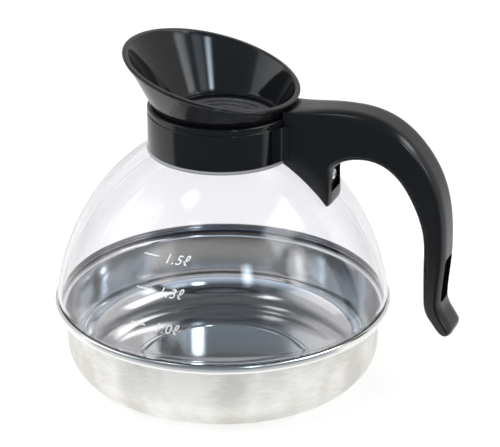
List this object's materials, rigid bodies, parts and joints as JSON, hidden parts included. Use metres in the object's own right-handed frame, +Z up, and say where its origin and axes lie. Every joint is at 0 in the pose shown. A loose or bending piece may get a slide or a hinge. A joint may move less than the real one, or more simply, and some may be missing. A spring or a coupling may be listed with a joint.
{
  "type": "coffee carafe",
  "caption": "Dome-shaped clear coffee carafe on a spun steel pan, with a black neck collar, an arched side handle and a flared pouring funnel that lifts out.",
  "frame": {"origin": "centre of the pan's floor, on the table", "axes": "+Z up along the bowl's axis, +X towards the handle, +Y to the left of the handle"},
  "size_m": [0.206, 0.1684, 0.1699],
  "materials": {
    "clear_plastic": "clear, polished",
    "seal_rubber": "matte",
    "brushed_steel": "satin outside, bright inside",
    "polished_steel": "polished",
    "pad_silicone": "translucent satin",
    "gloss_black": "moulded gloss",
    "strainer_grey": "satin",
    "brass": "turned",
    "screw_steel": "plated"
  },
  "bodies": {
    "carafe": {"bowl": "clear_plastic", "rim_seal": "seal_rubber", "base_pan": "brushed_steel", "crimp_band": "polished_steel", "neck_pad": "pad_silicone", "collar": "gloss_black", "handle": "gloss_black", "threaded_inserts": "brass", "handle_screws": "screw_steel"},
    "funnel": {"funnel": "gloss_black", "funnel_seal": "seal_rubber", "strainer": "strainer_grey"}
  },
  "joints": [
    {"name": "funnel_lift", "type": "slide", "parent": "carafe", "child": "funnel", "axis": [0, 0, 1], "range_m": [0, 0.03]}
  ]
}
